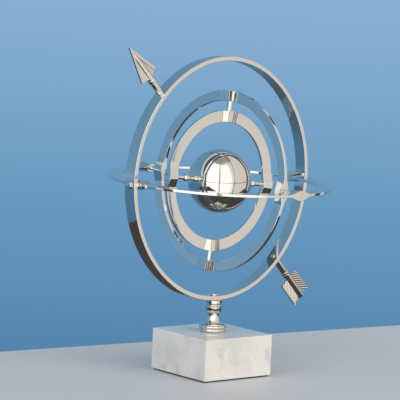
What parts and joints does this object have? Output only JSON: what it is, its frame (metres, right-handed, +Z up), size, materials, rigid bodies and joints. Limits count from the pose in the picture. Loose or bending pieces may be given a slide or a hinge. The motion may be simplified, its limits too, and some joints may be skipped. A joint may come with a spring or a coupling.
{
  "type": "armillary sphere",
  "caption": "Armillary sphere: a mirror ball hung in concentric pivoting rings inside an upright hoop with an arrow across it, on a turned pedestal and a square marble block.",
  "frame": {"origin": "centre of the underside of the felt, on the ground", "axes": "+Z up, along the pedestal and the hoop diameter; the hoop lies in the XZ plane and +Y is its axis; +X is the side that the arrow tail is on"},
  "size_m": [0.3331, 0.281, 0.408],
  "materials": {
    "marble": "polished white marble with faint grey veins",
    "felt": "black felt",
    "steel": "zinc-plated",
    "screws": "nickel plated",
    "nickel": "polished nickel plate",
    "mirror_ball": "mirror-polished nickel plate"
  },
  "bodies": {
    "stand": {"marble_base": "marble", "base_felt": "felt", "base_washer": "steel", "base_nut": "steel", "tie_bolt": "screws", "pedestal": "nickel", "outer_hoop": "nickel", "arrow_head": "nickel", "arrow_head_shaft": "nickel", "arrow_head_screw": "screws", "arrow_tail_shaft": "nickel", "arrow_ferrule": "nickel", "arrow_fletching": "nickel", "arrow_tail_screw": "screws", "hoop_pivot_screw_left": "screws", "hoop_pivot_screw_right": "screws", "hoop_pivot_spacer_left": "nickel", "hoop_pivot_spacer_right": "nickel"},
    "horizon": {"horizon_ring": "nickel", "middle_pivot_screw_front": "screws", "middle_pivot_screw_back": "screws", "middle_pivot_spacer_front": "nickel", "middle_pivot_spacer_back": "nickel"},
    "middle": {"middle_ring": "nickel", "pole_pin_top": "nickel", "pole_pin_bottom": "nickel"},
    "inner": {"inner_ring": "nickel"},
    "ball": {"ball": "mirror_ball", "axle_left": "nickel", "axle_right": "nickel", "axle_collar_left": "nickel", "axle_collar_right": "nickel", "axle_bead_left": "nickel", "axle_bead_right": "nickel"}
  },
  "joints": [
    {"name": "horizon_pivot", "type": "hinge", "parent": "stand", "child": "horizon", "pos_m": [0, 0, 0.2428], "axis": [1, 0, 0], "continuous": true},
    {"name": "middle_pivot", "type": "hinge", "parent": "horizon", "child": "middle", "pos_m": [0, 0, 0.2428], "axis": [0, 0.9995, 0.0314], "continuous": true},
    {"name": "inner_pivot", "type": "hinge", "parent": "middle", "child": "inner", "pos_m": [0, 0, 0.2428], "axis": [0.0976, -0.0313, 0.9947], "continuous": true},
    {"name": "ball_pivot", "type": "hinge", "parent": "inner", "child": "ball", "pos_m": [0, 0, 0.2428], "axis": [0.9946, -0.0318, -0.0986], "continuous": true}
  ]
}
